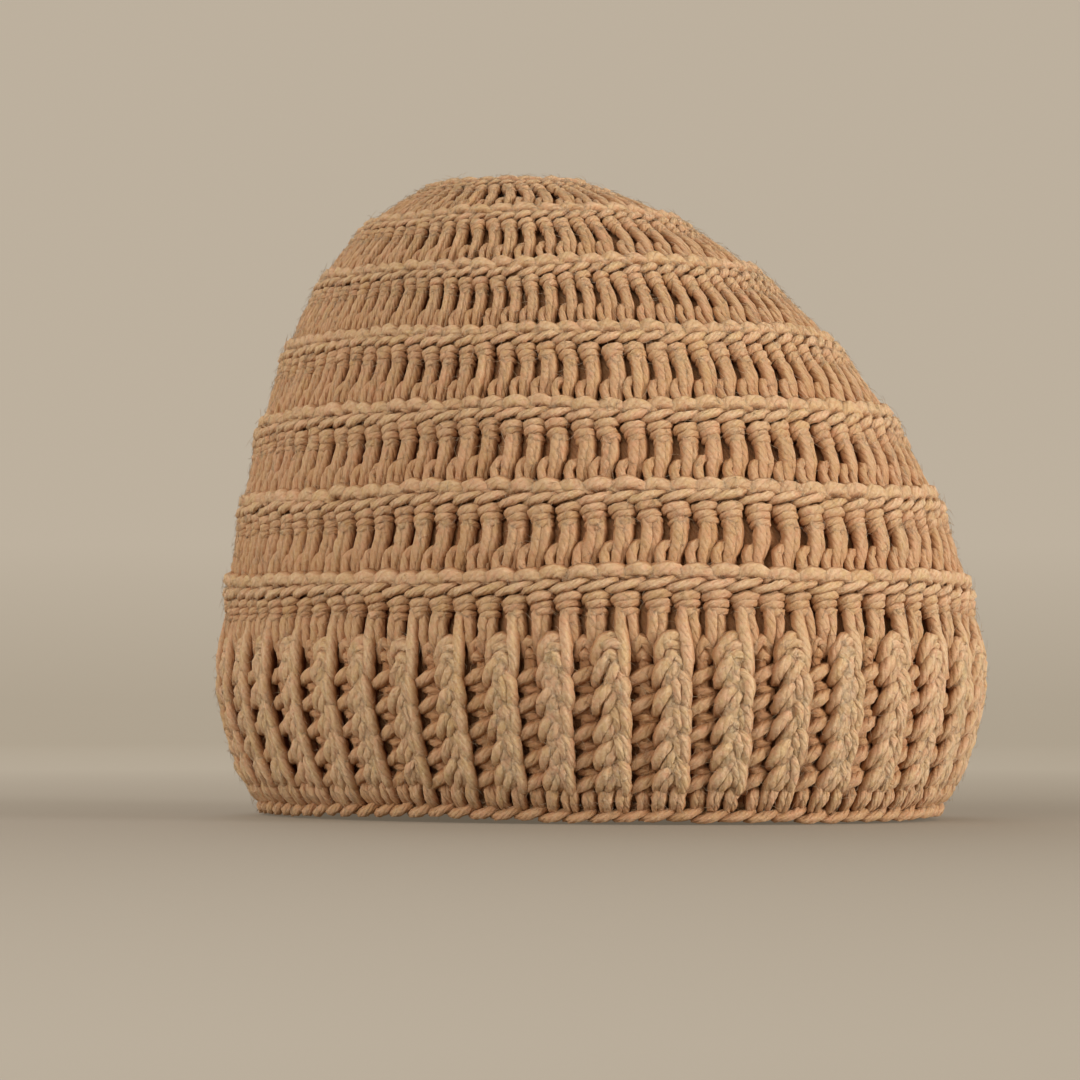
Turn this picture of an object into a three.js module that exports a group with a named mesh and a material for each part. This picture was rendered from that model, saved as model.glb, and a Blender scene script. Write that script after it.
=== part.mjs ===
// Crochet beanie: a hollow hat of plied yarn, worked in rounds.
// Millimetres, +Z up. The hat stands on its rim at z = 0 and its front faces -Y.
// The crown leans to the back, and the fullest level lies inside the brim.

import * as THREE from 'three';

// Outer form, over the tops of the ridges and ribs
const HALF_WIDTH = 79.5;
const HALF_DEPTH = 105;
const HEIGHT = 162;
const FULL_LEVEL = 33;
const DOME_RISE_POWER = 1.18;
const DOME_CLOSE_POWER = 0.95;
const CROWN_LEAN = 30;
const LEAN_POWER = 2.1;
const RIM_DRAW_IN = 10;
const RIM_DRAW_POWER = 1.5;

// Rounds of the fabric, from the first ridge above the brim to the centre of the top
const FIRST_RIDGE_LEVEL = 56;
const ROUNDS = 7;
const LOWER_BODY_ROUNDS = 2;
const BODY_ROUNDS = 4;
const RIDGE_WIDTH = 6.4;
const FABRIC_THICKNESS = 7.8;
const PIECE_GAP = 0.3;

// Depth under the outer form up one round, as shares of the ridge's width and of the round
const RIDGE_FOOT_DEPTH = 2.4;
const RIDGE_CREST_DEPTH = 0.3;
const RIDGE_SECTION = [
  { ridgeShare: -0.5, roundShare: 0, depth: RIDGE_FOOT_DEPTH },
  { ridgeShare: -0.26, roundShare: 0, depth: RIDGE_CREST_DEPTH },
  { ridgeShare: 0.26, roundShare: 0, depth: RIDGE_CREST_DEPTH },
  { ridgeShare: 0.5, roundShare: 0, depth: RIDGE_FOOT_DEPTH },
  { ridgeShare: 0, roundShare: 0.52, depth: 1.9 },
];

// The centre of the top is drawn in to a dimple
const DIMPLE_DEPTH = 3;
const DIMPLE_RING_DEPTH = 2.1;
const DIMPLE_RING_REACH = 3.6;
const INNER_TOP_REACH = 13;

// Levels at which the ribbing meets the edge round below it and the body above it
const EDGE_HEIGHT = 4.3;
const BRIM_FOOT_LEVEL = EDGE_HEIGHT + PIECE_GAP;
const BRIM_TOP_LEVEL = FIRST_RIDGE_LEVEL - RIDGE_WIDTH / 2 - PIECE_GAP;

// Ribbing of the brim: the section of one rib across its pitch, and how far it stands at each level
const RIBS = 42;
const RIB_PROUD = 4.2;
const RIB_SECTION = [
  { pitchShare: 0, proud: 1 },
  { pitchShare: 0.2, proud: 0.8 },
  { pitchShare: 0.34, proud: 0 },
  { pitchShare: 0.66, proud: 0 },
  { pitchShare: 0.8, proud: 0.8 },
];
const RIB_LEVELS = [
  { level: BRIM_FOOT_LEVEL, proud: 0.55, ground: 3.9 },
  { level: 7.5, proud: 1, ground: 4.2 },
  { level: 19, proud: 1, ground: 4.2 },
  { level: FULL_LEVEL, proud: 1, ground: 4.2 },
  { level: 39, proud: 1, ground: 4.2 },
  { level: 43, proud: 0.2, ground: 2.8 },
  { level: BRIM_TOP_LEVEL, proud: 0, ground: 2.4 },
];
const BRIM_INNER_LEVELS = [BRIM_TOP_LEVEL, FULL_LEVEL, BRIM_FOOT_LEVEL];

// Edge round: its section as levels and depths under the outer form, flat where it stands
const EDGE_SECTION = [
  { level: 0, depth: 3 },
  { level: 0.9, depth: 1.7 },
  { level: 3.3, depth: 1.5 },
  { level: EDGE_HEIGHT, depth: 2.6 },
  { level: EDGE_HEIGHT, depth: 6.9 },
  { level: 2.6, depth: 7.8 },
  { level: 0, depth: 7 },
];

// Fineness of the facets
const BODY_COLUMNS = 56;
const EDGE_COLUMNS = 84;
const MERIDIAN_STEPS = 800;
const TANGENT_STEP = 0.002;
const INNER_ROWS_BODY = 3;
const INNER_ROWS_CROWN = 7;

const YARN_COLOUR = 0xb9966e;
const QUARTER = Math.PI / 2;

// The outer form is followed by a climb angle: a quarter turn from the fullest level up to the
// centre of the top, and, counted below zero, a quarter turn down to the rim.
function riseShare(climb) {
  return Math.max(Math.sin(climb), 0) ** DOME_RISE_POWER;
}

function levelAt(climb) {
  if (climb < 0) return FULL_LEVEL * (1 + climb / QUARTER);
  return FULL_LEVEL + (HEIGHT - FULL_LEVEL) * riseShare(climb);
}

function halfSizeAt(climb, fullHalfSize) {
  if (climb < 0) return fullHalfSize - RIM_DRAW_IN * (-climb / QUARTER) ** RIM_DRAW_POWER;
  return fullHalfSize * Math.max(Math.cos(climb), 0) ** DOME_CLOSE_POWER;
}

function climbAtLevel(level) {
  if (level < FULL_LEVEL) return QUARTER * (level / FULL_LEVEL - 1);
  const share = (level - FULL_LEVEL) / (HEIGHT - FULL_LEVEL);
  return Math.asin(share ** (1 / DOME_RISE_POWER));
}

// The turn from the front is evened out, so that equal turns are equal lengths round the oval.
const OVAL_EVENING = (HALF_DEPTH ** 2 - HALF_WIDTH ** 2) / (HALF_DEPTH ** 2 + HALF_WIDTH ** 2) / 4;

function formPoint(turn, climb) {
  const angle = turn + OVAL_EVENING * Math.sin(2 * turn);
  const lean = CROWN_LEAN * riseShare(climb) ** LEAN_POWER;
  return new THREE.Vector3(
    halfSizeAt(climb, HALF_WIDTH) * Math.sin(angle),
    lean - halfSizeAt(climb, HALF_DEPTH) * Math.cos(angle),
    levelAt(climb),
  );
}

// Depth is measured square to the form above the fullest level, and level below it.
function fabricPoint(turn, climb, depth) {
  const around = formPoint(turn + TANGENT_STEP, climb).sub(formPoint(turn - TANGENT_STEP, climb));
  const along = formPoint(turn, climb + TANGENT_STEP).sub(formPoint(turn, climb - TANGENT_STEP));
  const outward = around.cross(along);
  if (climb < 0) outward.z = 0;
  return formPoint(turn, climb).addScaledVector(outward.normalize(), -depth);
}

// Length up the outside of the hat, from the fullest level, against the climb angle
const MERIDIAN = [];
for (let i = 0; i <= MERIDIAN_STEPS; i++) {
  const climb = QUARTER * i / MERIDIAN_STEPS;
  const reach = halfSizeAt(climb, (HALF_WIDTH + HALF_DEPTH) / 2);
  const level = levelAt(climb);
  const last = MERIDIAN[i - 1];
  const length = last ? last.length + Math.hypot(reach - last.reach, level - last.level) : 0;
  MERIDIAN.push({ climb, reach, level, length });
}
const TOP_LENGTH = MERIDIAN[MERIDIAN_STEPS].length;

function lengthAtLevel(level) {
  return MERIDIAN.find((row) => row.level >= level).length;
}

function climbAtLength(length) {
  const high = MERIDIAN.findIndex((row) => row.length >= length);
  if (high < 1) return high < 0 ? QUARTER : 0;
  const a = MERIDIAN[high - 1];
  const b = MERIDIAN[high];
  return a.climb + (b.climb - a.climb) * (length - a.length) / (b.length - a.length);
}

const FIRST_RIDGE_LENGTH = lengthAtLevel(FIRST_RIDGE_LEVEL);
const ROUND_PITCH = (TOP_LENGTH - FIRST_RIDGE_LENGTH) / ROUNDS;

// A ring of points at given turns, whose depth may change from one turn to the next
function ringAt(turns, climb, depthOf) {
  return turns.map((turn, column) => fabricPoint(turn, climb, depthOf(column)));
}

function evenTurns(columns) {
  return Array.from({ length: columns }, (_, column) => 2 * Math.PI * column / columns);
}

// A closed solid from rows that run up the outside and down the inside. A row is a ring of
// points, or a single point at the centre of the top.
function solidOfRows(rows, columns) {
  const corners = rows.flat();
  const starts = [];
  let count = 0;
  for (const row of rows) {
    starts.push(count);
    count += row.length;
  }
  const faces = [];
  for (let r = 0; r < rows.length; r++) {
    const upperRow = (r + 1) % rows.length;
    const lowerIsPoint = rows[r].length === 1;
    const upperIsPoint = rows[upperRow].length === 1;
    if (lowerIsPoint && upperIsPoint) continue;
    for (let column = 0; column < columns; column++) {
      const next = (column + 1) % columns;
      const lowerLeft = starts[r] + (lowerIsPoint ? 0 : column);
      const lowerRight = starts[r] + (lowerIsPoint ? 0 : next);
      const upperLeft = starts[upperRow] + (upperIsPoint ? 0 : column);
      const upperRight = starts[upperRow] + (upperIsPoint ? 0 : next);
      if (!lowerIsPoint) faces.push(lowerLeft, lowerRight, upperRight);
      if (!upperIsPoint) faces.push(lowerLeft, upperRight, upperLeft);
    }
  }
  const geometry = new THREE.BufferGeometry();
  const positions = corners.flatMap((corner) => [corner.x, corner.y, corner.z]);
  geometry.setAttribute('position', new THREE.Float32BufferAttribute(positions, 3));
  geometry.setIndex(faces);
  geometry.computeVertexNormals();
  return geometry;
}

// Rows of one ridge and the posts above it
function roundRows(turns, round) {
  const ridgeLength = FIRST_RIDGE_LENGTH + round * ROUND_PITCH;
  return RIDGE_SECTION.map((row) => {
    const length = ridgeLength + row.ridgeShare * RIDGE_WIDTH + row.roundShare * ROUND_PITCH;
    return ringAt(turns, climbAtLength(length), () => row.depth);
  });
}

function ridgeFootLength(round) {
  return FIRST_RIDGE_LENGTH + round * ROUND_PITCH - RIDGE_WIDTH / 2;
}

function innerRows(turns, fromLength, toLength, count) {
  const rows = [];
  for (let i = 0; i <= count; i++) {
    const climb = climbAtLength(fromLength + (toLength - fromLength) * i / count);
    rows.push(ringAt(turns, climb, () => FABRIC_THICKNESS));
  }
  return rows;
}

// Even rounds, from the foot of one ridge up to the foot of the ridge that follows the last round
function makeEvenRounds(firstRound, roundAfter) {
  const turns = evenTurns(BODY_COLUMNS);
  const rows = [];
  for (let round = firstRound; round < roundAfter; round++) rows.push(...roundRows(turns, round));
  const topLength = ridgeFootLength(roundAfter) - PIECE_GAP;
  rows.push(ringAt(turns, climbAtLength(topLength), () => RIDGE_FOOT_DEPTH));
  rows.push(...innerRows(turns, topLength, ridgeFootLength(firstRound), INNER_ROWS_BODY));
  return solidOfRows(rows, BODY_COLUMNS);
}

// Closing rounds, up to the drawn-in centre of the top
function makeCrown() {
  const turns = evenTurns(BODY_COLUMNS);
  const rows = [];
  for (let round = BODY_ROUNDS; round < ROUNDS; round++) rows.push(...roundRows(turns, round));
  rows.push(ringAt(turns, climbAtLength(TOP_LENGTH - DIMPLE_RING_REACH), () => DIMPLE_RING_DEPTH));
  const top = formPoint(0, QUARTER);
  rows.push([top.clone().setZ(HEIGHT - DIMPLE_DEPTH)]);
  rows.push([top.clone().setZ(HEIGHT - FABRIC_THICKNESS)]);
  const innerTopLength = TOP_LENGTH - INNER_TOP_REACH;
  rows.push(...innerRows(turns, innerTopLength, ridgeFootLength(BODY_ROUNDS), INNER_ROWS_CROWN));
  return solidOfRows(rows, BODY_COLUMNS);
}

// Post-stitch ribbing, with a plain row of posts between the ribs' rounded tops and the body
function makeBrim() {
  const turns = [];
  const prouds = [];
  for (let rib = 0; rib < RIBS; rib++) {
    for (const row of RIB_SECTION) {
      turns.push(2 * Math.PI * (rib + row.pitchShare) / RIBS);
      prouds.push(row.proud);
    }
  }
  const rows = RIB_LEVELS.map((row) => {
    const depthOf = (column) => row.ground - RIB_PROUD * row.proud * prouds[column];
    return ringAt(turns, climbAtLevel(row.level), depthOf);
  });
  for (const level of BRIM_INNER_LEVELS) {
    rows.push(ringAt(turns, climbAtLevel(level), () => FABRIC_THICKNESS));
  }
  return solidOfRows(rows, turns.length);
}

function makeEdge() {
  const turns = evenTurns(EDGE_COLUMNS);
  const rows = EDGE_SECTION.map((row) => ringAt(turns, climbAtLevel(row.level), () => row.depth));
  return solidOfRows(rows, EDGE_COLUMNS);
}

const yarn = new THREE.MeshStandardMaterial({ color: YARN_COLOUR, roughness: 0.92, metalness: 0 });
const beanie = new THREE.Group();
const pieces = [
  { name: 'crown', geometry: makeCrown() },
  { name: 'upper_body', geometry: makeEvenRounds(LOWER_BODY_ROUNDS, BODY_ROUNDS) },
  { name: 'lower_body', geometry: makeEvenRounds(0, LOWER_BODY_ROUNDS) },
  { name: 'ribbed_brim', geometry: makeBrim() },
  { name: 'edge_round', geometry: makeEdge() },
];
for (const { name, geometry } of pieces) {
  const mesh = new THREE.Mesh(geometry, yarn.clone());
  mesh.name = name;
  beanie.add(mesh);
}

export default beanie;
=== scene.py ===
import math

import bpy
import numpy as np
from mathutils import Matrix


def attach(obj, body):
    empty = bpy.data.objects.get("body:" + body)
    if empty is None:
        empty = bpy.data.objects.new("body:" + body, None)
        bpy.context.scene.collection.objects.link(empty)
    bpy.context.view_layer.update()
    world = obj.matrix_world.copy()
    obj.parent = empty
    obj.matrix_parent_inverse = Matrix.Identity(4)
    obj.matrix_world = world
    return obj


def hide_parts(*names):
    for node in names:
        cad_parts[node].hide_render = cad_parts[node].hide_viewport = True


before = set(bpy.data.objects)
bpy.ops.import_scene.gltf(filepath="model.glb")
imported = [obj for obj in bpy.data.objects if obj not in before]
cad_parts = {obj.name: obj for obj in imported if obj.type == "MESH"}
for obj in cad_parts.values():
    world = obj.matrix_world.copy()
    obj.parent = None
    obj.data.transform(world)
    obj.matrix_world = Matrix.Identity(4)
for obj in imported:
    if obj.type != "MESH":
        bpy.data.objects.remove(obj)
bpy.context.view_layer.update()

bpy.ops.object.select_all(action="DESELECT")


# Rounds of the crown and body.
# Camel-coloured plied yarn in double crochet, worked from the centre of the top down. Each round
# is a row of upright posts, and the loops between two rounds lie as a raised chain ridge. A stitch
# is laid in flat fabric, in millimetres round, up and out, and then repeated and bent on the hat.
HALF_WIDTH = 79.5
HALF_DEPTH = 105
HEIGHT = 162
FULL_LEVEL = 33
RIM_TUCK = 10
RIM_TUCK_CURVE = 1.5
DOME_CURVE = 0.95
DOME_RISE = 1.18
TOP_LEAN = 30
TOP_LEAN_CURVE = 2.1
QUARTER = math.pi / 2
OVAL_EVENING = (HALF_DEPTH**2 - HALF_WIDTH**2) / (HALF_DEPTH**2 + HALF_WIDTH**2) / 4
MILLIMETRE = 0.001


def rise_share(climb):
    """How far the form has risen from its fullest level to its top, from 0 to 1."""
    return np.maximum(np.sin(climb), 0) ** DOME_RISE


def half_size(climb, full):
    """Half the width or depth of the form, drawn in at the rim and closing at the top."""
    below = full - RIM_TUCK * (np.maximum(-climb, 0) / QUARTER) ** RIM_TUCK_CURVE
    above = full * np.maximum(np.cos(climb), 0) ** DOME_CURVE
    return np.where(climb < 0, below, above)


def level_at(climb):
    """The height over the rim, from a straight lower part and a dome."""
    below = FULL_LEVEL * (1 + climb / QUARTER)
    return np.where(climb < 0, below, FULL_LEVEL + (HEIGHT - FULL_LEVEL) * rise_share(climb))


def form_point(turn, climb):
    """A point of the hat's outer form: turn goes round from the front, climb from rim to centre."""
    angle = turn + OVAL_EVENING * np.sin(2 * turn)
    lean = TOP_LEAN * rise_share(climb) ** TOP_LEAN_CURVE
    across = half_size(climb, HALF_WIDTH) * np.sin(angle)
    along = lean - half_size(climb, HALF_DEPTH) * np.cos(angle)
    return np.stack(np.broadcast_arrays(across, along, level_at(climb)), axis=-1)


FORM_STEPS = 4000
FIRST_RIDGE_LEVEL = 56
ROUND_COUNT = 7
climbs = np.linspace(-QUARTER, QUARTER, FORM_STEPS + 1)
reaches = half_size(climbs, (HALF_WIDTH + HALF_DEPTH) / 2)
levels = level_at(climbs)
steps = np.hypot(np.diff(reaches), np.diff(levels))
lengths = np.concatenate([[0], np.cumsum(steps)])
TOP_LENGTH = lengths[-1]
FIRST_RIDGE = np.interp(FIRST_RIDGE_LEVEL, levels, lengths)
ROUND_PITCH = (TOP_LENGTH - FIRST_RIDGE) / ROUND_COUNT


def on_the_hat(turn, up, out):
    """Millimetres up the fabric from the rim and out from the form, as metres in the hat."""
    nudge = 0.002
    pole_gap = 0.02
    least_length = 1e-9
    climb = np.interp(up, lengths, climbs)
    sideways = form_point(turn + nudge, climb) - form_point(turn - nudge, climb)
    low = np.minimum(climb, QUARTER - pole_gap)
    upwards = form_point(turn, low + nudge) - form_point(turn, low - nudge)
    outward = np.cross(sideways, upwards)
    outward /= np.maximum(np.linalg.norm(outward, axis=-1, keepdims=True), least_length)
    return (form_point(turn, climb) + outward * out[:, None]) * MILLIMETRE


class Value:
    """A socket's value, which adds Math nodes when it is calculated with."""

    def __init__(self, paint, socket):
        self.paint = paint
        self.socket = socket

    def math(self, operation, *others):
        inputs = {}
        for index, other in enumerate(others):
            inputs[index] = other
        return self.paint.node("ShaderNodeMath", {"operation": operation}, inputs)

    def __add__(self, other):
        return self.math("ADD", self, other)

    def __radd__(self, other):
        return self.math("ADD", other, self)

    def __sub__(self, other):
        return self.math("SUBTRACT", self, other)

    def __rsub__(self, other):
        return self.math("SUBTRACT", other, self)

    def __mul__(self, other):
        return self.math("MULTIPLY", self, other)

    def __rmul__(self, other):
        return self.math("MULTIPLY", other, self)

    def __pow__(self, other):
        return self.math("POWER", self, other)

    def __rpow__(self, other):
        return self.math("POWER", other, self)

    def __abs__(self):
        return self.math("ABSOLUTE", self)

    def sine(self):
        return self.math("SINE", self)


# A Mix node's colour sockets share their names with its other kinds, so they go by number.
MIX_SHARE = 0
MIX_FIRST_COLOUR = 6
MIX_SECOND_COLOUR = 7
MIX_COLOUR = 2


class Paint:
    """The nodes of one material."""

    def __init__(self, name):
        self.material = bpy.data.materials.new(name)
        self.material.use_nodes = True
        self.nodes = self.material.node_tree.nodes
        self.links = self.material.node_tree.links
        self.shader = self.nodes["Principled BSDF"]

    def feed(self, socket, value):
        """Links a calculated value to the socket, or sets a plain one on it."""
        if isinstance(value, Value):
            self.links.new(value.socket, socket)
        else:
            socket.default_value = value

    def node(self, kind, settings=None, inputs=None, output=0):
        made = self.nodes.new(kind)
        for name, value in (settings or {}).items():
            setattr(made, name, value)
        for name, value in (inputs or {}).items():
            self.feed(made.inputs[name], value)
        return Value(self, made.outputs[output])

    def part(self, value, letter):
        """One part of a vector, by its letter."""
        return self.node("ShaderNodeSeparateXYZ", None, {"Vector": value}, letter)

    def mix(self, share, first, second):
        inputs = {MIX_SHARE: share, MIX_FIRST_COLOUR: first, MIX_SECOND_COLOUR: second}
        return self.node("ShaderNodeMix", {"data_type": "RGBA"}, inputs, MIX_COLOUR)

    def spread(self, value, low, high):
        """How far the value has come from low to high, kept between 0 and 1."""
        inputs = {"Value": value, "From Min": low, "From Max": high}
        return self.node("ShaderNodeMapRange", {"clamp": True}, inputs)

    def finish(self, values):
        """Gives the shader its values, by the names of its sockets."""
        for name, value in values.items():
            self.feed(self.shader.inputs[name], value)
        return self.material


def linear(red, green, blue):
    """A colour given as it looks on a screen, 0 to 255, made linear by the sRGB curve."""
    shares = []
    for amount in (red, green, blue):
        share = amount / 255
        shares.append(share / 12.92 if share <= 0.04045 else ((share + 0.055) / 1.055) ** 2.4)
    return (*shares, 1)


PLY_COUNT = 6
PLY_TURN = 0.42
PLY_WAVER = 0.8
PLY_ROUNDNESS = 0.7
PLY_DEPTH = 0.00042
STREAK_ALONG = 0.5
STREAK_ACROSS = 2.2
STREAK_CHANGE = 40


def yarn_material():
    """Matt plied yarn: twisted plies along each strand, heathered fibre, and painted shade in the ply
    grooves and where the yarn lies deep or turns aside.
    """
    paint = Paint("camel_yarn")
    place = paint.node("ShaderNodeTexCoord", output="Object")
    strand = paint.node("ShaderNodeUVMap", {"uv_map": "UVMap"})
    along = paint.part(strand, "X")
    around = paint.part(strand, "Y")
    tint = paint.node("ShaderNodeAttribute", {"attribute_name": "tint"}, output="Fac")
    depth = paint.node("ShaderNodeAttribute", {"attribute_name": "depth"}, output="Fac")

    def fibre(scale, detail):
        inputs = {"Vector": place, "Scale": scale, "Detail": detail, "Roughness": 0.6}
        return paint.node("ShaderNodeTexNoise", None, inputs)

    mottle = fibre(scale=260, detail=3)
    dyeing = fibre(scale=430, detail=2)
    fluff = fibre(scale=1150, detail=5)
    twist = around * PLY_COUNT + along * PLY_TURN
    ply = abs(((twist + mottle * PLY_WAVER) * math.pi).sine()) ** PLY_ROUNDNESS
    lay = {"X": along * STREAK_ALONG, "Y": twist * STREAK_ACROSS, "Z": tint * STREAK_CHANGE}
    fibre_run = paint.node("ShaderNodeCombineXYZ", None, lay)
    inputs = {"Vector": fibre_run, "Scale": 1.0, "Detail": 3}
    streak = paint.node("ShaderNodeTexNoise", None, inputs)

    camel = linear(187, 155, 119)
    rosy = linear(193, 152, 119)
    olive = linear(186, 153, 109)
    pink_fibre = linear(202, 148, 121)
    green_fibre = linear(182, 157, 106)
    pale_fibre = linear(210, 180, 143)
    painted_ply_groove_shade = linear(152, 100, 60)
    loose_fluff = linear(218, 196, 166)
    dark_streak = linear(150, 102, 64)
    painted_crevice_shade = linear(152, 98, 56)
    painted_hole_shade = linear(110, 52, 22)
    tone = paint.mix(paint.spread(tint, 0.0, 0.45), olive, camel)
    tone = paint.mix(paint.spread(tint, 0.55, 1.0), tone, rosy)
    tone = paint.mix(paint.spread(dyeing, 0.52, 0.68) * 0.45, tone, pink_fibre)
    tone = paint.mix(paint.spread(dyeing, 0.48, 0.32) * 0.45, tone, green_fibre)
    tone = paint.mix(paint.spread(mottle, 0.35, 0.75) * 0.35, tone, pale_fibre)
    # Painted shade in the grooves between the plies.
    tone = paint.mix((1 - ply) * 0.15, tone, painted_ply_groove_shade)
    tone = paint.mix(paint.spread(fluff, 0.4, 0.75) * 0.5, tone, loose_fluff)
    tone = paint.mix(paint.spread(streak, 0.55, 0.3) * 0.12, tone, dark_streak)
    # Painted shade: the yarn turns darker and warmer where its depth says it lies under the form or
    # turns aside, as in creases and on the strands' sides.
    tone = paint.mix(paint.spread(depth, 0.4, 4.0) * 0.75, tone, painted_crevice_shade)
    # Painted shade: the deepest places, such as the holes between the posts, turn dark brown.
    tone = paint.mix(paint.spread(depth, 4.6, 7.6), tone, painted_hole_shade)
    height = ply * 0.6 + streak * 0.35 + fluff * 1.25
    bump = {"Height": height, "Distance": PLY_DEPTH, "Strength": 0.85}
    return paint.finish({
        "Base Color": tone,
        "Normal": paint.node("ShaderNodeBump", None, bump),
        "Roughness": 0.86 + fluff * 0.1,
        "Subsurface Weight": 0.4,
        "Subsurface Radius": (1.0, 0.85, 0.7),
        "Subsurface Scale": 0.0011,
        "Specular IOR Level": 0.2,
        "Sheen Weight": 0.22,
        "Sheen Roughness": 0.45,
        "Sheen Tint": linear(218, 168, 118),
    })


yarn = yarn_material()


def finish_piece(piece, *nodes):
    """A piece of the hat takes the yarn, rides on the hat and stands for its solids."""
    piece.data.materials.clear()
    piece.data.materials.append(yarn)
    for face in piece.data.polygons:
        face.use_smooth = True
    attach(piece, "root")
    if nodes:
        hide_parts(*nodes)


def read_vectors(mesh, kind):
    """The places ("co") or the normals ("normal") of a mesh's points, a row for each."""
    values = np.zeros(len(mesh.vertices) * 3)
    mesh.vertices.foreach_get(kind, values)
    return values.reshape(-1, 3)


def read_attribute(mesh, name):
    values = np.zeros(len(mesh.vertices))
    mesh.attributes[name].data.foreach_get("value", values)
    return values


def write_attribute(mesh, name, values):
    """Sets a number on each point of a mesh, and adds the attribute where it isn't there."""
    layer = mesh.attributes.get(name)
    if layer is None:
        layer = mesh.attributes.new(name, "FLOAT", "POINT")
    layer.data.foreach_set("value", values)


KNOT_STEPS = 2
SEAM_GAP = 0.001


def lay_strand(points, sides):
    """A length of yarn through points of the flat fabric: round, up, out and half its thickness.

    Its UV map runs along it in millimetres and once around it.
    """
    bpy.ops.curve.primitive_bezier_curve_add()
    curve = bpy.context.object
    spline = curve.data.splines[0]
    spline.bezier_points.add(len(points) - 2)
    length = 0
    last = points[0]
    for knot, point in zip(spline.bezier_points, points):
        knot.co = point[:3]
        knot.handle_left_type = "AUTO"
        knot.handle_right_type = "AUTO"
        knot.radius = point[3]
        length += math.dist(point[:3], last[:3])
        last = point
    # A bevel of 1 makes each knot's radius the real half thickness.
    curve.data.bevel_depth = 1
    curve.data.bevel_resolution = sides
    curve.data.resolution_u = KNOT_STEPS
    curve.data.use_fill_caps = True
    bpy.ops.object.convert(target="MESH")
    strand = bpy.context.object
    spread = np.zeros(len(strand.data.loops) * 2)
    strand.data.uv_layers[0].data.foreach_get("uv", spread)
    spread[0::2] *= length
    strand.data.uv_layers[0].data.foreach_set("uv", spread)
    return strand


def join_strands(paths, sides=1):
    """The strands of one stitch, joined in the flat fabric, each with its own number."""
    strands = []
    for number, points in enumerate(paths):
        strand = lay_strand(points, sides)
        numbers = np.full(len(strand.data.vertices), float(number))
        write_attribute(strand.data, "strand", numbers)
        strands.append(strand)
    bpy.ops.object.select_all(action="DESELECT")
    for strand in strands:
        strand.select_set(True)
    bpy.context.view_layer.objects.active = strands[0]
    bpy.ops.object.join()
    stitch = bpy.context.object
    bpy.ops.object.mode_set(mode="EDIT")
    bpy.ops.mesh.select_all(action="SELECT")
    bpy.ops.mesh.remove_doubles(threshold=SEAM_GAP)
    bpy.ops.mesh.normals_make_consistent(inside=False)
    bpy.ops.object.mode_set(mode="OBJECT")
    return stitch


def repeated(piece, count, pitch):
    """Copies the piece in a row along X, and says which copy each point belongs to."""
    corners = len(piece.data.vertices)
    row = piece.modifiers.new("row", "ARRAY")
    row.count = count
    row.use_relative_offset = False
    row.use_constant_offset = True
    row.constant_offset_displace = (pitch, 0, 0)
    bpy.ops.object.select_all(action="DESELECT")
    piece.select_set(True)
    bpy.context.view_layer.objects.active = piece
    bpy.ops.object.modifier_apply(modifier="row")
    return np.arange(len(piece.data.vertices)) // corners


STITCHES = 84
STITCH_WIDTH = 6.885
MIDDLE_DEPTH = -3
SURFACE_DEPTH = -2.2
TOP_CLEARANCE = 0.4
STRAND_UNEVENNESS = (1, 0.8, 0.6)
STITCH_UNEVENNESS = (0.9, 0.9, 0.3)
MOST_UNEVEN = 0.6
FUZZINESS = 0.13
SWAYS = [
    {"size": 0.4, "waves": 3, "slant": 0.06},
    {"size": 0.3, "waves": 7, "slant": -0.09},
]
LEAST_NARROWING = 0.3
THINNING = 0.6
STRAND_TINT = 0.7
STITCH_TINT = 0.3
SIDE_SHADE = 2.3
hand = np.random.default_rng(7)
surface_places = []


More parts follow.
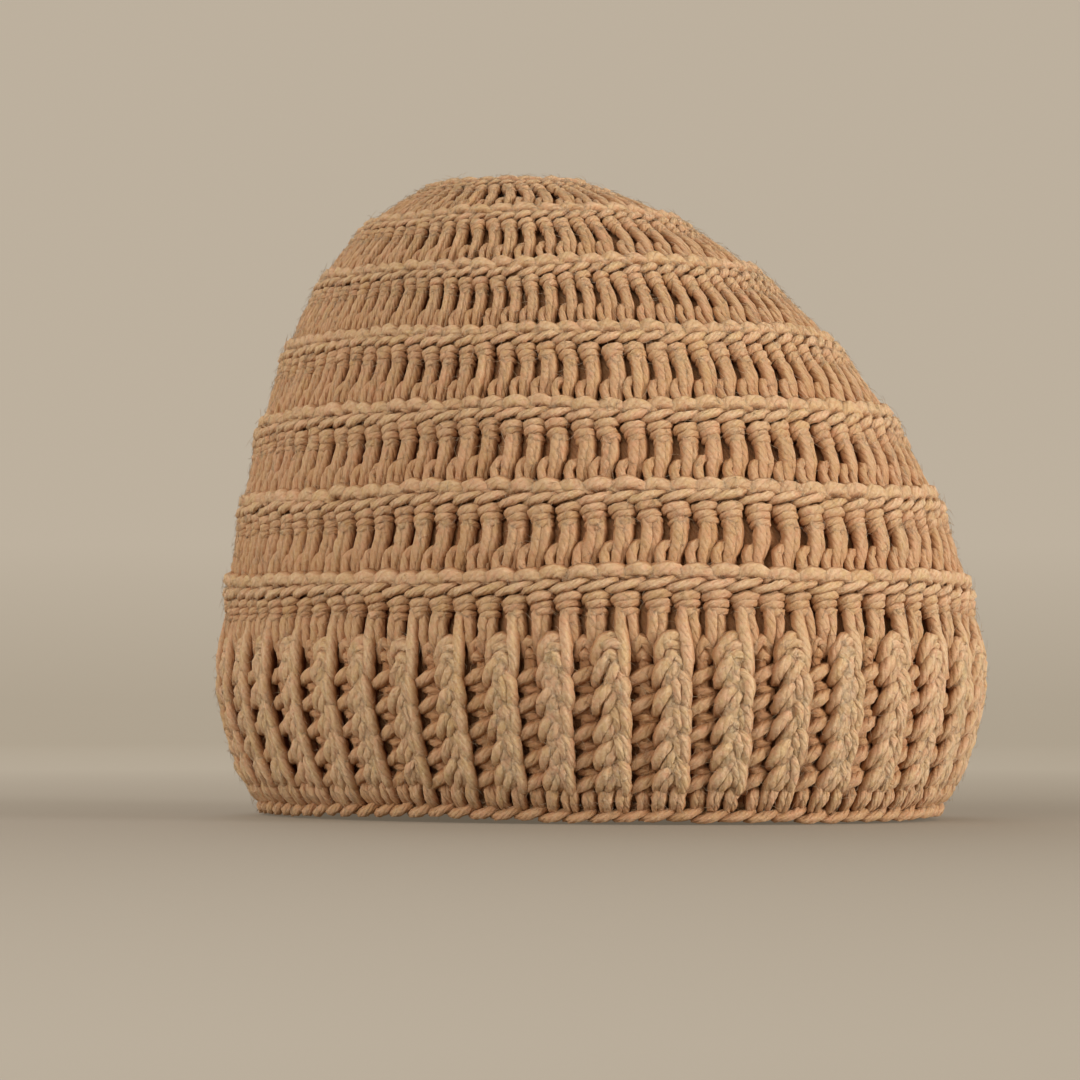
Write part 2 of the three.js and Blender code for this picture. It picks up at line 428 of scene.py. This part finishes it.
def crochet_round(stitch, name, columns, width, foot, phase=0.0, lean=0.0, unevenness=0.22):
    """Repeats a flat stitch round the hat, each a little uneven, and bends it on to the form.

    The yarn gets thinner where the round is narrower than its stitches, near the top. Places on
    its outer side are kept in surface_places, for the loose fibres. Each strand has its own tint,
    and depth says how far its surface lies under the form or turns aside.
    """
    stitch.name = name
    column = repeated(stitch, columns, width)
    mesh = stitch.data
    flat = read_vectors(mesh, "co")
    facing = read_vectors(mesh, "normal")[:, 2]
    number = np.round(read_attribute(mesh, "strand")).astype(int)
    strands = number.max() + 1
    shift = hand.normal(0, unevenness, (columns, strands, 3)) * STRAND_UNEVENNESS
    shift += hand.normal(0, unevenness, (columns, 1, 3)) * STITCH_UNEVENNESS
    flat = flat + np.clip(shift, -MOST_UNEVEN, MOST_UNEVEN)[column, number]
    flat += hand.normal(0, FUZZINESS, flat.shape)
    share = flat[:, 1] / ROUND_PITCH
    turn = (flat[:, 0] + lean * share + phase * width) / (width * columns) * 2 * math.pi
    level = foot + flat[:, 1]
    sway = 0
    for wave in SWAYS:
        sway = sway + wave["size"] * np.sin(wave["waves"] * turn + wave["slant"] * level)
    up = np.clip(level + sway, 0, TOP_LENGTH - TOP_CLEARANCE)
    narrowing = 2 * math.pi * np.interp(up, lengths, reaches) / (columns * width)
    thickness = np.clip(narrowing, LEAST_NARROWING, 1) ** THINNING
    out = MIDDLE_DEPTH + (flat[:, 2] - MIDDLE_DEPTH) * thickness
    outer = out > SURFACE_DEPTH
    surface_places.append(np.stack([turn[outer], up[outer], out[outer]], axis=1))
    bent = on_the_hat(turn, up, out)
    mesh.vertices.foreach_set("co", bent.ravel())
    tints = hand.random((columns, strands)) * STRAND_TINT
    tints += hand.random((columns, 1)) * STITCH_TINT
    write_attribute(mesh, "tint", tints[column, number])
    # Painted shade: depth grows on the strands' sides turned away from the front and where they lie
    # under the form, and the yarn's colour darkens with it.
    write_attribute(mesh, "depth", SIDE_SHADE * (1 - facing) - flat[:, 2])
    mesh.update()
    return stitch


def thinned(path, thick):
    """A strand's path with its yarn and its depth made smaller."""
    return [(u, v, w * thick, r * thick) for u, v, w, r in path]


RIDGE_LOOPS = [
    [(-1.6, 0.9, -3.4, 1.5), (0.8, 2.1, -2.6, 1.9), (3.4, 2.6, -2.2, 2.05), (6.0, 2.1, -2.5, 1.9),
     (8.4, 0.8, -3.3, 1.5)],
    [(-4.2, 0.1, -4.3, 1.9), (0.0, 0.2, -4.2, 1.9), (4.2, 0.1, -4.3, 1.9)],
]
POST = [
    [(-2.7, 2.8, -3.9, 1.3), (-2.3, 5.8, -3.5, 1.55), (-1.4, 8.6, -3.3, 1.85),
     (-0.7, 11.4, -3.2, 1.9), (-0.4, 14.4, -3.2, 1.8), (-0.2, 18.2, -3.4, 1.5)],
    [(-1.8, 3.0, -4.3, 1.15), (-1.1, 6.2, -3.9, 1.35), (0.2, 9.0, -3.5, 1.65),
     (0.9, 12.0, -3.4, 1.75), (1.2, 15.2, -3.4, 1.65), (1.1, 18.6, -3.6, 1.3)],
    [(-0.6, 9.2, -4.3, 1.1), (-2.3, 9.1, -3.7, 1.35), (-4.0, 8.3, -3.3, 1.5),
     (-5.0, 6.3, -3.1, 1.5), (-4.5, 2.8, -3.0, 1.45)],
]
HEAD = [
    [(-1.9, 14.0, -4.4, 0.9), (-1.4, 14.3, -3.1, 1.15), (0.2, 14.7, -2.5, 1.25),
     (1.7, 14.9, -3.0, 1.15), (2.2, 14.7, -4.4, 0.9)],
    [(-2.4, 15.6, -4.4, 0.9), (-1.8, 16.0, -2.9, 1.2), (0.1, 16.4, -2.3, 1.35),
     (2.0, 16.7, -2.8, 1.2), (2.6, 16.5, -4.4, 0.9)],
    [(-3.0, 17.2, -4.1, 1.0), (-2.2, 17.7, -2.7, 1.3), (0.1, 18.2, -2.1, 1.4),
     (2.4, 18.6, -2.6, 1.3), (3.2, 18.5, -4.1, 1.0)],
    [(-4.8, 19.5, -2.8, 0.8), (-2.7, 19.8, -1.6, 1.05), (0.1, 20.4, -1.1, 1.15),
     (2.9, 21.2, -1.4, 1.05), (5.2, 22.0, -2.6, 0.8)],
]
# Each solid of several rounds is replaced by its last round. The closing round has no heads.
ROUNDS = [
    {"name": "body_round_1", "stitches": STITCHES, "thick": 1.0, "lean": 1.0, "solids": []},
    {"name": "body_round_2", "stitches": STITCHES, "thick": 1.0, "lean": 1.4, "solids": ["lower_body"]},
    {"name": "body_round_3", "stitches": STITCHES, "thick": 0.97, "lean": 1.8, "solids": []},
    {"name": "body_round_4", "stitches": STITCHES, "thick": 0.93, "lean": 2.2, "solids": ["upper_body"]},
    {"name": "crown_round_5", "stitches": 63, "thick": 0.9, "lean": 2.4, "solids": []},
    {"name": "crown_round_6", "stitches": 42, "thick": 0.85, "lean": 2.4, "solids": []},
    {"name": "crown_round_7", "stitches": 21, "thick": 0.8, "lean": 1.2, "solids": ["crown"]},
]
for number, row in enumerate(ROUNDS):
    paths = RIDGE_LOOPS + POST + HEAD
    if number == len(ROUNDS) - 1:
        paths = RIDGE_LOOPS + POST
    posts = crochet_round(
        join_strands([thinned(path, row["thick"]) for path in paths]),
        row["name"],
        row["stitches"],
        STITCH_WIDTH,
        foot=FIRST_RIDGE + number * ROUND_PITCH,
        phase=0.5,
        lean=row["lean"],
    )
    finish_piece(posts, *row["solids"])


# Centre of the crown.
# The first loop of the hat is drawn tight: a short coil of the same yarn, sunk a little into the
# ring of stitches that are worked into it.
COIL_TURNS = 1.9
COIL_START = 0.5
COIL_REACH = 4.2
COIL_SUNK = 3.6
COIL_SWELL = 0.9
COIL_YARN = 1.05
COIL_KNOTS = 16
COIL_TINT = 0.4
COIL_SHADE = 2.8
coil = []
for knot in range(COIL_KNOTS):
    share = knot / (COIL_KNOTS - 1)
    angle = share * COIL_TURNS * 2 * math.pi
    reach = COIL_START + (COIL_REACH - COIL_START) * share
    height = COIL_SWELL * math.sin(share * math.pi) - COIL_SUNK
    coil.append((reach * math.cos(angle), reach * math.sin(angle), height, COIL_YARN))
centre_coil = join_strands([coil], sides=2)
centre_coil.name = "crown_centre_coil"
bpy.ops.transform.resize(value=(MILLIMETRE, MILLIMETRE, MILLIMETRE))
bpy.ops.transform.translate(value=(0, TOP_LEAN * MILLIMETRE, HEIGHT * MILLIMETRE))
bpy.ops.object.transform_apply(location=True, rotation=True, scale=True)
coil_corners = len(centre_coil.data.vertices)
write_attribute(centre_coil.data, "tint", np.full(coil_corners, COIL_TINT))
# Painted shade over the whole coil, as it lies sunk among the stitches.
write_attribute(centre_coil.data, "depth", np.full(coil_corners, COIL_SHADE))
finish_piece(centre_coil)


# Top of the brim.
# The first row of the brim is plain double crochet too, 84 posts that hang from the lowest chain
# ridge. Their feet open into the ribbing, which leaves a hole over each rib.
RIBS = STITCHES // 2
RIB_WIDTH = 2 * STITCH_WIDTH
BRIM_HEAD_FOOT = FIRST_RIDGE - ROUND_PITCH
BRIM_TOP_POSTS = [
    [(2.7, 35.0, -2.7, 1.1), (3.1, 38.0, -1.7, 1.45), (3.1, 41.0, -1.5, 1.6),
     (2.8, 44.2, -1.8, 1.7), (2.5, 47.4, -2.4, 1.75), (2.6, 50.4, -2.8, 1.7),
     (2.9, 53.0, -3.4, 1.3)],
    [(5.2, 40.8, -4.4, 1.1), (4.9, 43.8, -3.5, 1.4), (4.8, 47.0, -3.1, 1.6),
     (4.6, 50.2, -3.2, 1.6), (4.4, 53.0, -3.8, 1.2)],
    [(-5.7, 40.8, -4.6, 1.1), (-5.2, 43.8, -3.5, 1.45), (-4.8, 47.0, -2.9, 1.7),
     (-4.6, 50.2, -2.9, 1.7), (-4.1, 53.0, -3.5, 1.3)],
    [(-3.9, 41.0, -4.2, 1.0), (-3.2, 43.8, -3.4, 1.35), (-2.7, 47.0, -3.1, 1.5),
     (-2.5, 50.2, -3.2, 1.5), (-2.4, 53.0, -3.7, 1.2)],
    [(4.7, 39.6, -4.6, 1.1), (5.4, 42.4, -3.7, 1.4), (6.8, 44.2, -3.3, 1.6),
     (8.2, 43.0, -3.7, 1.4), (8.8, 40.4, -4.6, 1.1)],
    [(5.6, 39.8, -4.4, 1.1), (6.9, 41.2, -3.6, 1.6), (8.2, 39.8, -4.4, 1.1)],
]


def moved(path, across, up):
    """The same strand at another place of the flat fabric."""
    return [(u + across, v + up, w, r) for u, v, w, r in path]


for aside in (-STITCH_WIDTH / 2, STITCH_WIDTH / 2):
    BRIM_TOP_POSTS += [moved(path, aside, BRIM_HEAD_FOOT) for path in HEAD]
top_posts = join_strands(BRIM_TOP_POSTS)
brim_top = crochet_round(top_posts, "brim_top_posts", RIBS, RIB_WIDTH, foot=0)
finish_piece(brim_top)


# Ribs of the brim.
# Front post stitches stacked over each other: every second column stands out as an upright rib.
# Each shows a smooth strand up its right side and a leaf of two strands for every round, over a
# hidden core.
RIB_CORE_LEVELS = range(11, 42, 6)
RIB_CORE = [(-0.3, 7.0, -4.6, 1.6)]
for level in RIB_CORE_LEVELS:
    RIB_CORE.append((-0.2, level, -3.3, 2.85))
RIB_CORE.append((0.0, 45.0, -4.0, 1.7))
RIB_STRANDS = [
    RIB_CORE,
    [(-3.7, 38.2, -3.6, 1.2), (-3.4, 40.8, -2.7, 1.6), (-2.5, 43.0, -2.2, 1.7),
     (-0.8, 44.7, -2.1, 1.65), (1.0, 44.8, -2.4, 1.5), (2.3, 43.2, -3.2, 1.2)],
    [(-3.2, 42.0, -3.2, 1.0), (-1.6, 42.9, -2.0, 1.4), (0.2, 43.4, -1.7, 1.5),
     (1.9, 42.8, -1.9, 1.35), (2.9, 41.4, -2.8, 1.0)],
    [(-2.2, 38.0, -2.8, 1.1), (-1.3, 40.0, -1.9, 1.5), (0.1, 41.3, -1.6, 1.6),
     (1.3, 40.2, -1.6, 1.45), (1.5, 38.0, -2.0, 1.3), (1.3, 35.6, -2.8, 1.0)],
]
LEAF_FEET = (34.4, 27.6, 20.8, 14.2, 8.4)
for foot in LEAF_FEET:
    RIB_STRANDS += [
        [(-4.0, foot - 1.2, -3.9, 1.1), (-3.6, foot + 1.0, -2.6, 1.55),
         (-2.6, foot + 3.2, -1.9, 1.8), (-1.1, foot + 5.2, -1.8, 1.65),
         (0.5, foot + 6.6, -2.6, 1.2)],
        [(-2.4, foot - 1.8, -3.2, 0.9), (-1.5, foot + 0.3, -2.2, 1.35),
         (-0.4, foot + 2.4, -1.7, 1.55), (0.7, foot + 4.4, -1.9, 1.45),
         (1.7, foot + 5.8, -3.0, 1.0)],
    ]
SIDE_STRAND_TOPS = (35.6, 28.8, 22.0, 15.4)
for top in SIDE_STRAND_TOPS:
    RIB_STRANDS += [
        [(0.6, top + 1.9, -2.8, 1.0), (1.8, top + 1.0, -1.9, 1.3),
         (2.8, top - 1.2, -1.5, 1.45), (3.0, top - 4.0, -1.5, 1.5),
         (2.9, top - 6.6, -1.9, 1.35), (2.4, top - 8.4, -3.0, 1.0)],
        [(0.1, top + 0.4, -2.6, 0.9), (0.9, top - 0.4, -1.7, 1.2),
         (1.5, top - 2.4, -1.4, 1.35), (1.6, top - 5.0, -1.8, 1.2),
         (1.4, top - 7.0, -3.0, 0.9)],
    ]
rib = join_strands(RIB_STRANDS)
ribs = crochet_round(rib, "brim_ribs", RIBS, RIB_WIDTH, foot=0, unevenness=0.24)
finish_piece(ribs, "ribbed_brim")


# Valleys of the brim.
# Between the ribs the back post stitches lie behind them, so that only short slanting bars of
# yarn show across the hollow, from the side of one rib to the next, with dark holes between them.
VALLEY_CORE_LEVELS = range(4, 45, 8)
VALLEY_CORE = []
for level in VALLEY_CORE_LEVELS:
    VALLEY_CORE.append((6.9, level, -4.9, 1.85))
VALLEY_BARS = [VALLEY_CORE]
BAR_LEVELS = (36.3, 29.5, 22.7, 15.9, 10.0)
for bar in BAR_LEVELS:
    VALLEY_BARS += [
        [(2.9, bar - 2.2, -3.5, 1.4), (4.9, bar - 1.0, -3.4, 1.8), (6.9, bar + 0.1, -3.2, 1.95),
         (8.4, bar + 0.9, -3.7, 1.7), (9.9, bar + 1.5, -4.2, 1.3)],
        [(3.9, bar - 3.4, -4.8, 1.1), (5.6, bar - 3.3, -4.4, 1.35), (7.0, bar - 3.4, -4.1, 1.5),
         (8.5, bar - 3.8, -4.4, 1.35), (9.9, bar - 4.2, -4.7, 1.1)],
    ]
valley = join_strands(VALLEY_BARS)
valleys = crochet_round(valley, "brim_valley_bars", RIBS, RIB_WIDTH, foot=0, unevenness=0.2)
finish_piece(valleys)


# Foot of the brim.
# The last round under the ribbing: two short posts of two strands under each rib and one smaller
# post in each valley, all standing on the edge round.
FOOT_POSTS = [
    [(-3.9, 1.8, -4.0, 1.0), (-3.8, 4.4, -2.8, 1.3), (-3.5, 6.4, -2.3, 1.4),
     (-2.9, 8.6, -2.7, 1.25), (-2.2, 10.4, -4.0, 0.9)],
    [(-2.5, 1.8, -4.0, 1.0), (-2.4, 4.4, -2.7, 1.3), (-2.1, 6.4, -2.2, 1.4),
     (-1.5, 8.4, -2.7, 1.2), (-0.9, 10.2, -4.0, 0.9)],
    [(0.8, 1.8, -4.0, 1.0), (0.9, 4.4, -2.8, 1.3), (1.0, 6.6, -2.3, 1.4),
     (1.4, 8.8, -2.7, 1.25), (1.8, 10.6, -4.0, 0.9)],
    [(2.3, 1.8, -4.2, 1.0), (2.4, 4.4, -2.9, 1.3), (2.5, 6.6, -2.5, 1.4),
     (2.9, 8.8, -2.9, 1.2), (3.1, 10.4, -4.2, 0.9)],
    [(6.0, 1.8, -4.6, 1.0), (6.1, 4.6, -3.2, 1.3), (6.3, 6.6, -3.0, 1.4),
     (6.7, 8.6, -4.4, 0.9)],
    [(7.4, 1.8, -4.6, 1.0), (7.4, 4.6, -3.3, 1.3), (7.4, 6.6, -3.1, 1.35),
     (7.2, 8.4, -4.4, 0.9)],
]
foot_posts = join_strands(FOOT_POSTS)
feet = crochet_round(foot_posts, "brim_foot_posts", RIBS, RIB_WIDTH, foot=0)
finish_piece(feet)


# Edge round.
# A last round of slip stitches closes the rim: one slanting loop for each stitch outside, and
# the back of the same loops under it and inside, on which the hat stands. The shade is folded
# over at the middle of the loops, because their inner side is as open to the light as the outer.
EDGE_MIDDLE = 4.4
EDGE_LOOPS = [
    [(-4.6, 0.7, -4.0, 0.9), (-2.6, 1.0, -3.2, 1.2), (0.0, 1.7, -2.8, 1.4),
     (2.6, 2.5, -3.1, 1.2), (4.6, 3.1, -4.0, 0.9)],
    [(-4.4, 1.3, -6.2, 0.9), (-2.4, 1.4, -5.3, 1.3), (0.0, 1.5, -4.9, 1.5),
     (2.4, 1.6, -5.3, 1.3), (4.4, 1.7, -6.2, 0.9)],
    [(-4.4, 2.4, -7.0, 0.8), (-2.2, 2.8, -6.6, 1.2), (0.2, 3.2, -6.4, 1.35),
     (2.6, 3.6, -6.6, 1.2), (4.4, 3.9, -7.0, 0.8)],
]
loop = join_strands(EDGE_LOOPS)
edge = crochet_round(
    loop, "edge_round_loops", STITCHES, STITCH_WIDTH, foot=0, phase=0.5, unevenness=0.12
)
shade = read_attribute(edge.data, "depth")
write_attribute(edge.data, "depth", EDGE_MIDDLE - np.abs(shade - EDGE_MIDDLE))
lowest = min(corner.co.z for corner in edge.data.vertices)
bpy.ops.transform.translate(value=(0, 0, -lowest))
bpy.ops.object.transform_apply(location=True, rotation=True, scale=True)
finish_piece(edge, "edge_round")


# Loose fibres.
# Plied yarn sheds fine fibre ends all over its surface, a millimetre or two long. Each is a thin
# three-sided hair that starts in a strand and bows away from it.
FIBRES = 17000
FIBRE_THICKNESS = 0.055
FIBRE_REACH = (0.8, 2.2)
FIBRE_BOW = (0.15, 0.75)
FIBRE_CURL = (-0.5, 0.5)
FIBRE_ARCH = 0.2
RIM_CLEARANCE = 0.2
FIBRE_TOP_CLEARANCE = 0.5
LEAST_REACH = 3
bpy.ops.mesh.primitive_circle_add(vertices=3, radius=1, fill_type="NGON", calc_uvs=True)
fibres = bpy.context.object
fibres.name = "loose_fibres"
bpy.ops.object.mode_set(mode="EDIT")
bpy.ops.mesh.select_all(action="SELECT")
bpy.ops.mesh.extrude_region_move(TRANSFORM_OT_translate={"value": (0, 0, 1)})
bpy.ops.mesh.extrude_region_move(TRANSFORM_OT_translate={"value": (0, 0, 1)})
bpy.ops.mesh.merge(type="CENTER")
bpy.ops.mesh.select_all(action="SELECT")
bpy.ops.mesh.normals_make_consistent(inside=False)
bpy.ops.object.mode_set(mode="OBJECT")
number = repeated(fibres, FIBRES, 0)
hair = read_vectors(fibres.data, "co")
places = np.concatenate(surface_places)
root = places[hand.integers(0, len(places), FIBRES)][number]
heading = hand.uniform(0, 2 * math.pi, FIBRES)[number]
reach = hand.uniform(*FIBRE_REACH, FIBRES)[number]
bow = hand.uniform(*FIBRE_BOW, FIBRES)[number]
curl = hand.uniform(*FIBRE_CURL, FIBRES)[number]
step = hair[:, 2]
way = reach * step
turned = heading + curl * step
across = way * np.cos(turned) - hair[:, 0] * FIBRE_THICKNESS * np.sin(turned)
climb_up = way * np.sin(turned) + hair[:, 0] * FIBRE_THICKNESS * np.cos(turned)
lift = bow * step * (1 + FIBRE_ARCH - FIBRE_ARCH * step) + hair[:, 1] * FIBRE_THICKNESS
up = np.clip(root[:, 1] + climb_up, RIM_CLEARANCE, TOP_LENGTH - FIBRE_TOP_CLEARANCE)
turn = root[:, 0] + across / np.maximum(np.interp(up, lengths, reaches), LEAST_REACH)
fibres.data.vertices.foreach_set("co", on_the_hat(turn, up, root[:, 2] + lift).ravel())
write_attribute(fibres.data, "tint", hand.random(FIBRES)[number])
write_attribute(fibres.data, "depth", np.zeros(len(hair)))
finish_piece(fibres)


# Inner face of the fabric.
# A crocheted hat has no lining: its inside is the back of the same stitches, posts with a low
# ridge between the rounds. It is a thin wall in three rings behind the strands, open at the rim,
# and its outer side carries a painted shade, the dark that shows through the holes between the posts.
INNER_STEPS = 4
INNER_DEPTH = 6.8
INNER_RELIEF = 0.8
INNER_RIDGE_WIDTH = 2.6
POST_RELIEF = 1.1
POST_ROUNDNESS = 0.8
RIDGE_RELIEF = 0.5
RIDGE_START = FIRST_RIDGE - 6
LOOP_RELIEF = 0.8
LOOP_SLANT = 0.12
INNER_SHADE = 0.5
INNER_SHADE_RANGE = 2.6
OUTER_SIDE_SHADE = 4.9
MIDDLE_TINT = 0.5
TINT_SWING = 0.4
TINT_ROUND = 2.4
TINT_UP = 3
WALL_THICKNESS = 0.0022
WALL_SEAM_GAP = 0.00001


def inner_wall(name, low, high, rows, columns):
    """A ring of the wall from low to high up the form, with posts and ridges on its inside."""
    around = columns * INNER_STEPS
    bpy.ops.mesh.primitive_grid_add(x_subdivisions=around, y_subdivisions=rows, size=2)
    wall = bpy.context.object
    wall.name = name
    sheet = read_vectors(wall.data, "co")
    turn = (sheet[:, 0] + 1) * math.pi
    up = low + (sheet[:, 1] + 1) / 2 * (high - low)
    column = turn / (2 * math.pi) * columns
    in_round = (up - FIRST_RIDGE) / ROUND_PITCH
    from_ridge = (in_round - np.round(in_round)) * ROUND_PITCH
    ridge = np.exp(-((from_ridge / INNER_RIDGE_WIDTH) ** 2)) * (up > RIDGE_START)
    post = np.abs(np.sin(math.pi * column)) ** POST_ROUNDNESS
    slant = np.abs(np.sin(math.pi * (column + up * LOOP_SLANT)))
    relief = post * (1 - ridge) * POST_RELIEF + ridge * (RIDGE_RELIEF + LOOP_RELIEF * slant)
    bent = on_the_hat(turn, up, -INNER_DEPTH - relief * INNER_RELIEF)
    wall.data.vertices.foreach_set("co", bent.ravel())
    spread = np.zeros(len(wall.data.loops) * 2)
    corner = np.zeros(len(wall.data.loops), dtype=int)
    wall.data.loops.foreach_get("vertex_index", corner)
    spread[0::2] = up[corner]
    spread[1::2] = column[corner]
    wall.data.uv_layers[0].data.foreach_set("uv", spread)
    tint = MIDDLE_TINT + TINT_SWING * np.sin(column * TINT_ROUND) * np.cos(in_round * TINT_UP)
    write_attribute(wall.data, "tint", tint)
    # Painted shade on the inside: the wall darkens where its relief is low, between the posts and
    # ridges.
    shade = (POST_RELIEF - relief) * INNER_SHADE_RANGE + INNER_SHADE
    write_attribute(wall.data, "depth", shade)
    bpy.ops.object.mode_set(mode="EDIT")
    bpy.ops.mesh.select_all(action="SELECT")
    bpy.ops.mesh.remove_doubles(threshold=WALL_SEAM_GAP)
    bpy.ops.mesh.normals_make_consistent(inside=False)
    bpy.ops.object.mode_set(mode="OBJECT")
    outer_count = len(wall.data.vertices)
    thicken = wall.modifiers.new("thickness", "SOLIDIFY")
    thicken.thickness = WALL_THICKNESS
    thicken.offset = 1
    bpy.ops.object.modifier_apply(modifier="thickness")
    shade = read_attribute(wall.data, "depth")
    # Painted shade on the outer side, which shows through the holes between the posts.
    shade[:outer_count] = OUTER_SIDE_SHADE
    write_attribute(wall.data, "depth", shade)
    return wall


WALL_FOOT = 1.2
WALL_TOP = TOP_LENGTH - 0.5
BODY_ROUNDS = 4
BODY_TOP = FIRST_RIDGE + BODY_ROUNDS * ROUND_PITCH
brim_wall = inner_wall("inner_brim_wall", WALL_FOOT, FIRST_RIDGE, rows=22, columns=STITCHES)
finish_piece(brim_wall)
body_wall = inner_wall("inner_body_wall", FIRST_RIDGE, BODY_TOP, rows=44, columns=STITCHES)
finish_piece(body_wall)
crown_wall = inner_wall("inner_crown_wall", BODY_TOP, WALL_TOP, rows=33, columns=STITCHES // 2)
finish_piece(crown_wall)


# Floor, light and camera.
# A pale seamless studio bowl. As the camera sees it, a soft key light stands at the front right, a
# wide fill at the front left and a weak light behind. The camera has a long lens, a little above
# the floor, at the photograph's side of the hat.
BOWL_SIDES = 96
FLOOR_RADIUS = 1.7
BOWL_CURVE = 1.3
BOWL_STEPS = 8
WALL_RISE = 1.2
WALL_BLEND = 0.14
SHADOW_REACH = 0.12
PALE_FROM = 0.75
bpy.ops.mesh.primitive_circle_add(vertices=BOWL_SIDES, radius=FLOOR_RADIUS, fill_type="NGON")
floor = bpy.context.object
floor.name = "studio_floor"
bpy.ops.object.mode_set(mode="EDIT")
bpy.ops.mesh.select_all(action="SELECT")
reach = FLOOR_RADIUS
for step in range(1, BOWL_STEPS + 1):
    angle = step / BOWL_STEPS * QUARTER
    next_reach = FLOOR_RADIUS + BOWL_CURVE * math.sin(angle)
    rise = BOWL_CURVE * (math.cos(angle - QUARTER / BOWL_STEPS) - math.cos(angle))
    bpy.ops.mesh.extrude_region_move(TRANSFORM_OT_translate={"value": (0, 0, rise)})
    grow = next_reach / reach
    bpy.ops.transform.resize(value=(grow, grow, 1))
    reach = next_reach
bpy.ops.mesh.extrude_region_move(TRANSFORM_OT_translate={"value": (0, 0, WALL_RISE)})
bpy.ops.object.mode_set(mode="OBJECT")
for face in floor.data.polygons:
    face.use_smooth = True
floor_paint = Paint("pale_floor")
floor_place = floor_paint.node("ShaderNodeTexCoord", output="Object")
up_the_wall = floor_paint.spread(floor_paint.part(floor_place, "Z"), 0.0, WALL_BLEND)
from_the_hat = floor_paint.node(
    "ShaderNodeVectorMath", {"operation": "LENGTH"}, {0: floor_place}, "Value"
)
# Painted light: the bowl glows, dimmer near the hat as a painted shadow round it and brightest up the
# wall; its base colour is lighter near the hat and darker up the wall.
away = floor_paint.spread(from_the_hat, SHADOW_REACH, PALE_FROM)
floor_tone = floor_paint.mix(away, linear(108, 100, 90), linear(84, 78, 70))
floor_glow = floor_paint.mix(away, linear(138, 125, 107), linear(204, 190, 168))
floor.data.materials.append(floor_paint.finish({
    "Base Color": floor_paint.mix(up_the_wall, floor_tone, linear(76, 71, 64)),
    "Emission Color": floor_paint.mix(up_the_wall, floor_glow, linear(240, 225, 203)),
    "Emission Strength": 0.5,
    "Roughness": 0.8,
}))

world = bpy.data.worlds.new("studio")
bpy.context.scene.world = world
world.use_nodes = True
background = world.node_tree.nodes["Background"]
background.inputs["Color"].default_value = linear(198, 186, 164)
background.inputs["Strength"].default_value = 1.05
LIT_HEIGHT = 0.08


def soft_light(name, place, size, power, colour):
    """A square lamp that faces the middle of the hat."""
    bpy.ops.object.light_add(type="AREA", location=place)
    lamp = bpy.context.object
    lamp.name = name
    lamp.data.size = size
    lamp.data.energy = power
    lamp.data.color = colour
    toward = -lamp.location.copy()
    toward.z += LIT_HEIGHT
    lamp.rotation_euler = toward.to_track_quat("-Z", "Y").to_euler()


soft_light("key", place=(0.35, -1.9, 0.3), size=0.8, power=48, colour=(1, 0.985, 0.96))
soft_light("fill", place=(-1.8, 0.1, 0.45), size=2.4, power=46, colour=(1, 0.99, 0.98))
soft_light("back", place=(0.9, 1.3, 1.2), size=1.0, power=6, colour=(1, 0.98, 0.95))

# The hat's middle lies at HAT_CENTRE, in the photograph's own pixels.
VIEW_AZIMUTH = math.radians(-50)
VIEW_DISTANCE = 1.15
VIEW_HEIGHT = 0.03
IMAGE_SIDE = 1080
PIXELS_PER_METRE = 4020
HAT_CENTRE = (568, 490)
SENSOR = 36
NEAREST_SEEN = 0.01
hat_middle = np.array([0.0, 0.008, 0.081])
back = np.array([math.sin(VIEW_AZIMUTH), -math.cos(VIEW_AZIMUTH), 0.0])
drop = np.array([0, 0, VIEW_HEIGHT - hat_middle[2]])
view_span = IMAGE_SIDE / PIXELS_PER_METRE
bpy.ops.object.camera_add()
camera = bpy.context.object
camera.name = "photo_camera"
camera.location = hat_middle + back * VIEW_DISTANCE + drop
camera.rotation_euler = (math.radians(90), 0, VIEW_AZIMUTH)
camera.data.sensor_width = SENSOR
camera.data.lens = SENSOR * VIEW_DISTANCE / view_span
camera.data.shift_x = 0.5 - HAT_CENTRE[0] / IMAGE_SIDE
camera.data.shift_y = HAT_CENTRE[1] / IMAGE_SIDE - 0.5 - drop[2] / view_span
camera.data.clip_start = NEAREST_SEEN
bpy.context.scene.camera = camera
bpy.context.scene.view_settings.view_transform = "Standard"
